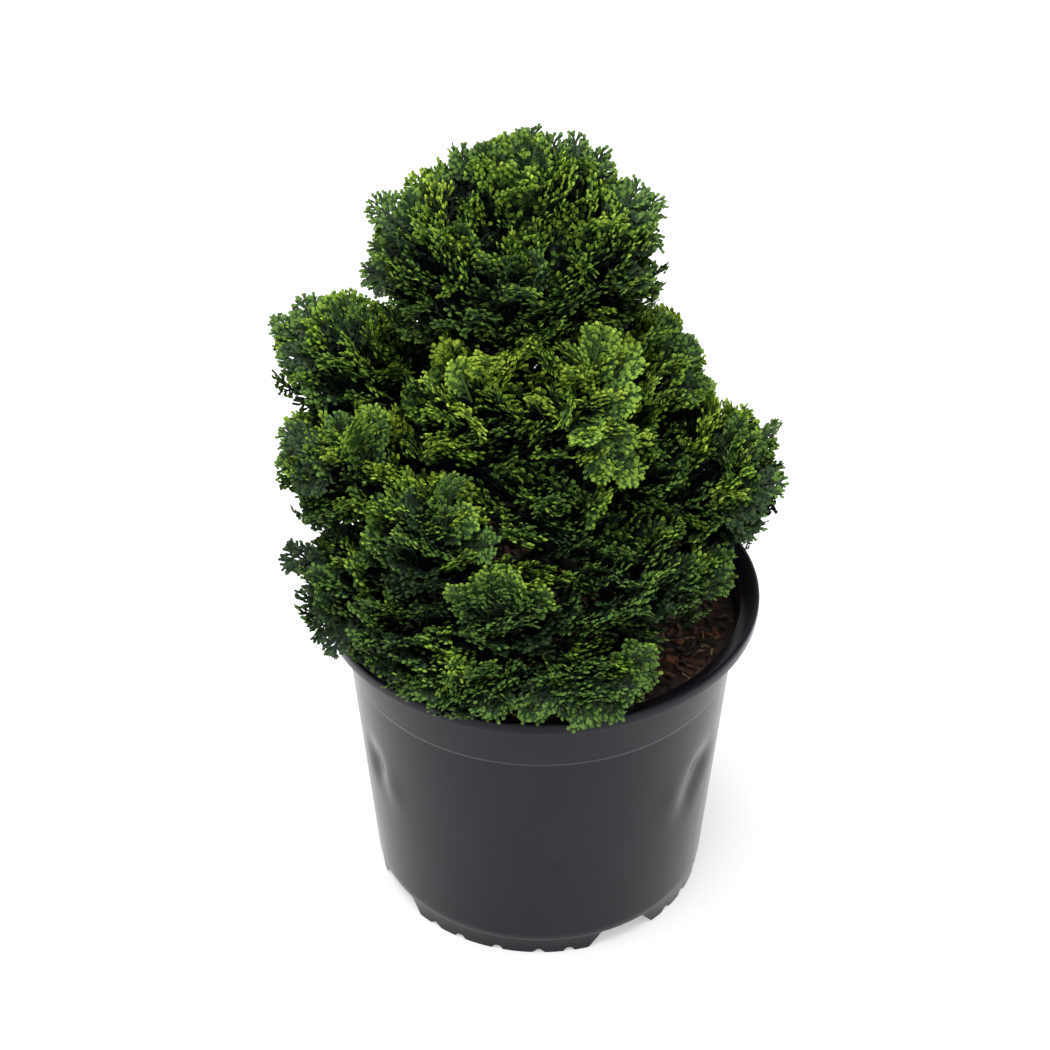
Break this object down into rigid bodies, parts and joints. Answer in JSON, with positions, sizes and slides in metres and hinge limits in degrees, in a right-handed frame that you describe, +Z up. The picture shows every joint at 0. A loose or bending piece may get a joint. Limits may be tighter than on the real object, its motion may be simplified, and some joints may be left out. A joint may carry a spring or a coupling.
{
  "type": "dwarf hinoki cypress in a nursery pot",
  "caption": "Dwarf hinoki cypress: a low conifer with a crown of dense, shell-shaped green sprays, in a round black plastic nursery pot filled with bark soil.",
  "frame": {"origin": "centre of the pot's flat underside, on the surface that the pot stands on", "axes": "+Z up along the pot's axis; -Y towards the front of the plant; +X to the right as seen from the front"},
  "size_m": [0.218, 0.1996, 0.3544],
  "materials": {
    "pot": "satin black moulded plastic",
    "soil": "damp bark and peat crumbs",
    "bark": "fibrous reddish brown bark",
    "foliage_fresh": "bright yellow-green scale leaves",
    "foliage_mid": "mid green scale leaves",
    "foliage_deep": "deep green scale leaves"
  },
  "bodies": {
    "root": {"pot": "pot", "soil": "soil", "trunk": "bark", "top_back_bough": "bark", "top_back_foliage": "foliage_mid", "top_left_bough": "bark", "top_left_foliage": "foliage_mid", "top_right_bough": "bark", "top_right_foliage": "foliage_mid", "top_front_bough": "bark", "top_front_foliage": "foliage_deep", "left_high_bough": "bark", "left_high_foliage": "foliage_mid", "left_mid_bough": "bark", "left_mid_foliage": "foliage_fresh", "left_low_bough": "bark", "left_low_foliage": "foliage_deep", "dome_left_bough": "bark", "dome_left_foliage": "foliage_fresh", "dome_right_bough": "bark", "dome_right_foliage": "foliage_fresh", "right_high_bough": "bark", "right_high_foliage": "foliage_fresh", "right_mid_bough": "bark", "right_mid_foliage": "foliage_mid", "front_left_bough": "bark", "front_left_foliage": "foliage_mid", "front_left_low_bough": "bark", "front_left_low_foliage": "foliage_deep", "front_high_bough": "bark", "front_high_foliage": "foliage_deep", "front_mid_bough": "bark", "front_mid_foliage": "foliage_mid", "front_low_left_bough": "bark", "front_low_left_foliage": "foliage_mid", "front_low_bough": "bark", "front_low_foliage": "foliage_mid", "front_right_bough": "bark", "front_right_foliage": "foliage_deep", "right_low_bough": "bark", "right_low_foliage": "foliage_mid", "right_inner_bough": "bark", "right_inner_foliage": "foliage_deep", "back_high_bough": "bark", "back_high_foliage": "foliage_mid", "back_left_bough": "bark", "back_left_foliage": "foliage_deep", "back_mid_bough": "bark", "back_mid_foliage": "foliage_mid", "back_right_bough": "bark", "back_right_foliage": "foliage_mid", "back_low_left_bough": "bark", "back_low_left_foliage": "foliage_deep", "back_low_right_bough": "bark", "back_low_right_foliage": "foliage_deep"}
  },
  "joints": []
}
